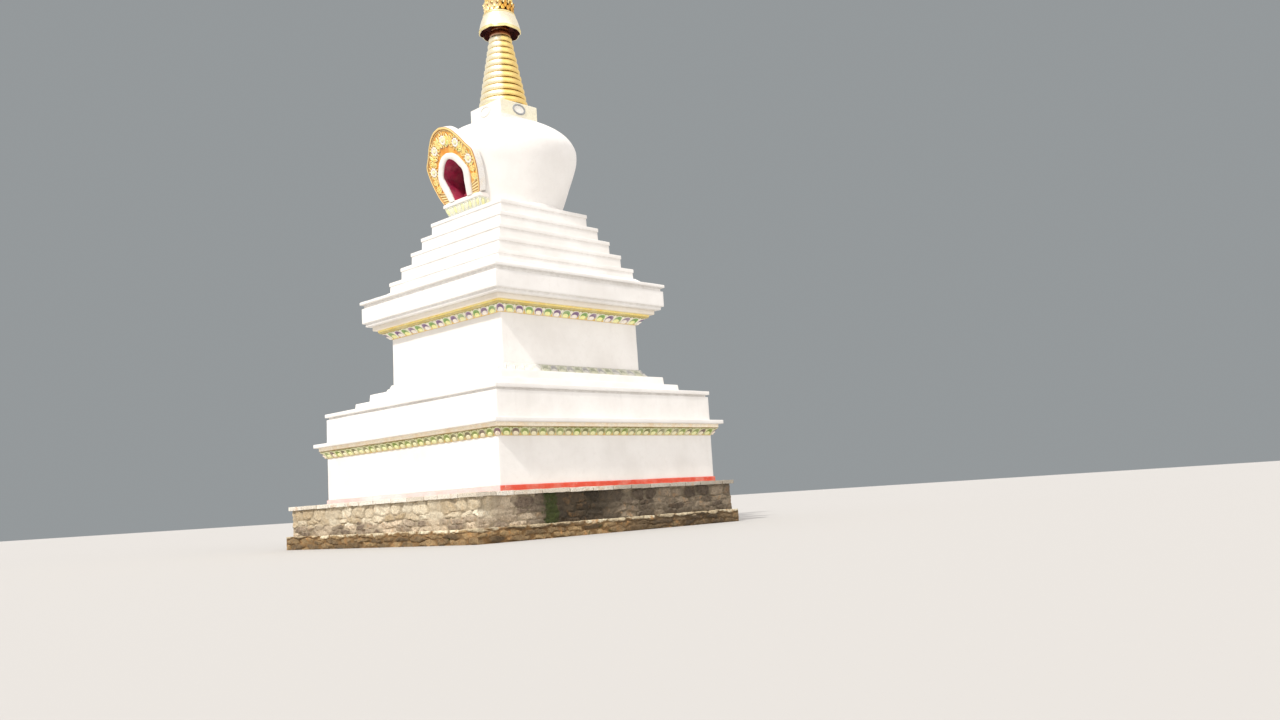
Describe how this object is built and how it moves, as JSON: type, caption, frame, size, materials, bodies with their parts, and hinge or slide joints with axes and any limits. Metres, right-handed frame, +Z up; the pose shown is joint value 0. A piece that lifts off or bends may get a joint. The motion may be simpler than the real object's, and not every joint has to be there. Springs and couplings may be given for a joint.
{
  "type": "whitewashed masonry stupa with a gilded spire",
  "caption": "Square stepped stupa of whitewashed masonry on a stone plinth, with painted lotus friezes, a niche in its dome and a gilded ringed spire under a parasol.",
  "frame": {"origin": "on the ground, at the foot of the vertical axis of the dome and spire", "axes": "+Z up along the spire; -Y is the front, the side with the niche; +X is to the right seen from the front"},
  "size_m": [5.62, 6.02, 11.1903],
  "materials": {
    "whitewash": "many coats of white limewash on plastered masonry, hand brushed, matt",
    "rubble_stone": "rough grey-brown stones in earth and cement mortar",
    "coping_stone": "thin pale slabs with open joints",
    "red_limewash": "red ochre wash on the base course, matt and worn",
    "cream_limewash": "cream wash, matt",
    "lotus_paint": "lotus petals painted green, purple, yellow and pink on plaster",
    "faded_lotus_paint": "small lotus petals in muted grey-green and yellow paint",
    "yellow_paint": "yellow and orange paint on a plaster fillet",
    "niche_gold_paint": "moulded plaster with flowers, painted orange gold",
    "niche_white_paint": "white paint on plaster",
    "crimson_paint": "crimson paint inside the niche",
    "figure_paint": "painted clay in a crimson robe",
    "gilt_copper": "gilded copper sheet, polished, with darker grooves",
    "ornate_gilt": "cast and pierced gilt ornament, darker in its hollows"
  },
  "bodies": {
    "root": {"dome": "whitewash", "dome_seat": "whitewash", "finial_jewel": "gilt_copper", "finial_lotus": "gilt_copper", "finial_moon": "gilt_copper", "finial_sun": "gilt_copper", "finial_vase": "gilt_copper", "harmika": "whitewash", "lower_gold_fillet": "yellow_paint", "lower_lip": "whitewash", "lower_lotus_frieze": "lotus_paint", "lower_parapet": "whitewash", "lower_projecting_slab": "whitewash", "lower_wall": "whitewash", "niche_box": "crimson_paint", "niche_figure": "figure_paint", "niche_frame": "niche_gold_paint", "niche_inner_frame": "niche_white_paint", "niche_lotus_base": "faded_lotus_paint", "niche_lotus_seat": "niche_white_paint", "niche_sill": "niche_white_paint", "parasol": "gilt_copper", "parasol_crown": "ornate_gilt", "plinth_body": "rubble_stone", "plinth_coping": "coping_stone", "plinth_footing": "rubble_stone", "red_base_course": "red_limewash", "spire_ring_01": "gilt_copper", "spire_ring_02": "gilt_copper", "spire_ring_03": "gilt_copper", "spire_ring_04": "gilt_copper", "spire_ring_05": "gilt_copper", "spire_ring_06": "gilt_copper", "spire_ring_07": "gilt_copper", "spire_ring_08": "gilt_copper", "spire_ring_09": "gilt_copper", "spire_ring_10": "gilt_copper", "spire_ring_11": "gilt_copper", "spire_ring_12": "gilt_copper", "spire_ring_13": "gilt_copper", "step_1": "whitewash", "step_2": "whitewash", "step_3": "whitewash", "step_4": "whitewash", "step_5": "whitewash", "terrace_step_1": "whitewash", "terrace_step_2": "whitewash", "upper_base_lotus_band": "faded_lotus_paint", "upper_bed_course": "cream_limewash", "upper_fascia": "whitewash", "upper_gold_fillet": "yellow_paint", "upper_lip": "whitewash", "upper_lotus_frieze": "lotus_paint", "upper_mortar_slope": "whitewash", "upper_wall": "whitewash"}
  },
  "joints": []
}
